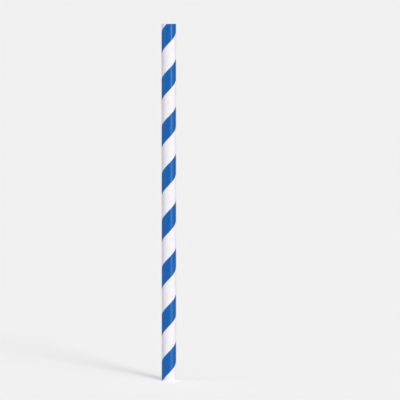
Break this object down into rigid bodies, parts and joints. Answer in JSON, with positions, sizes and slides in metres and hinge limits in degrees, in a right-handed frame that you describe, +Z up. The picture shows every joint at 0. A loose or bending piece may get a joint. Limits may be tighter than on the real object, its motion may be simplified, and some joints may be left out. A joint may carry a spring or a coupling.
{
  "type": "paper drinking straw",
  "caption": "Straight round paper straw, open at both ends, spirally wound from paper strips with a blue band on white.",
  "frame": {"origin": "on the surface that the straw stands on, on its axis: the centre of its lower end", "axes": "+Z up along the straw, -Y towards the side pictured, +X to the right of that side"},
  "size_m": [0.008, 0.008, 0.197],
  "materials": {
    "straw_paper": "white straw paper with a printed blue band, calendered to a soft satin"
  },
  "bodies": {
    "root": {"straw_tube": "straw_paper"}
  },
  "joints": []
}
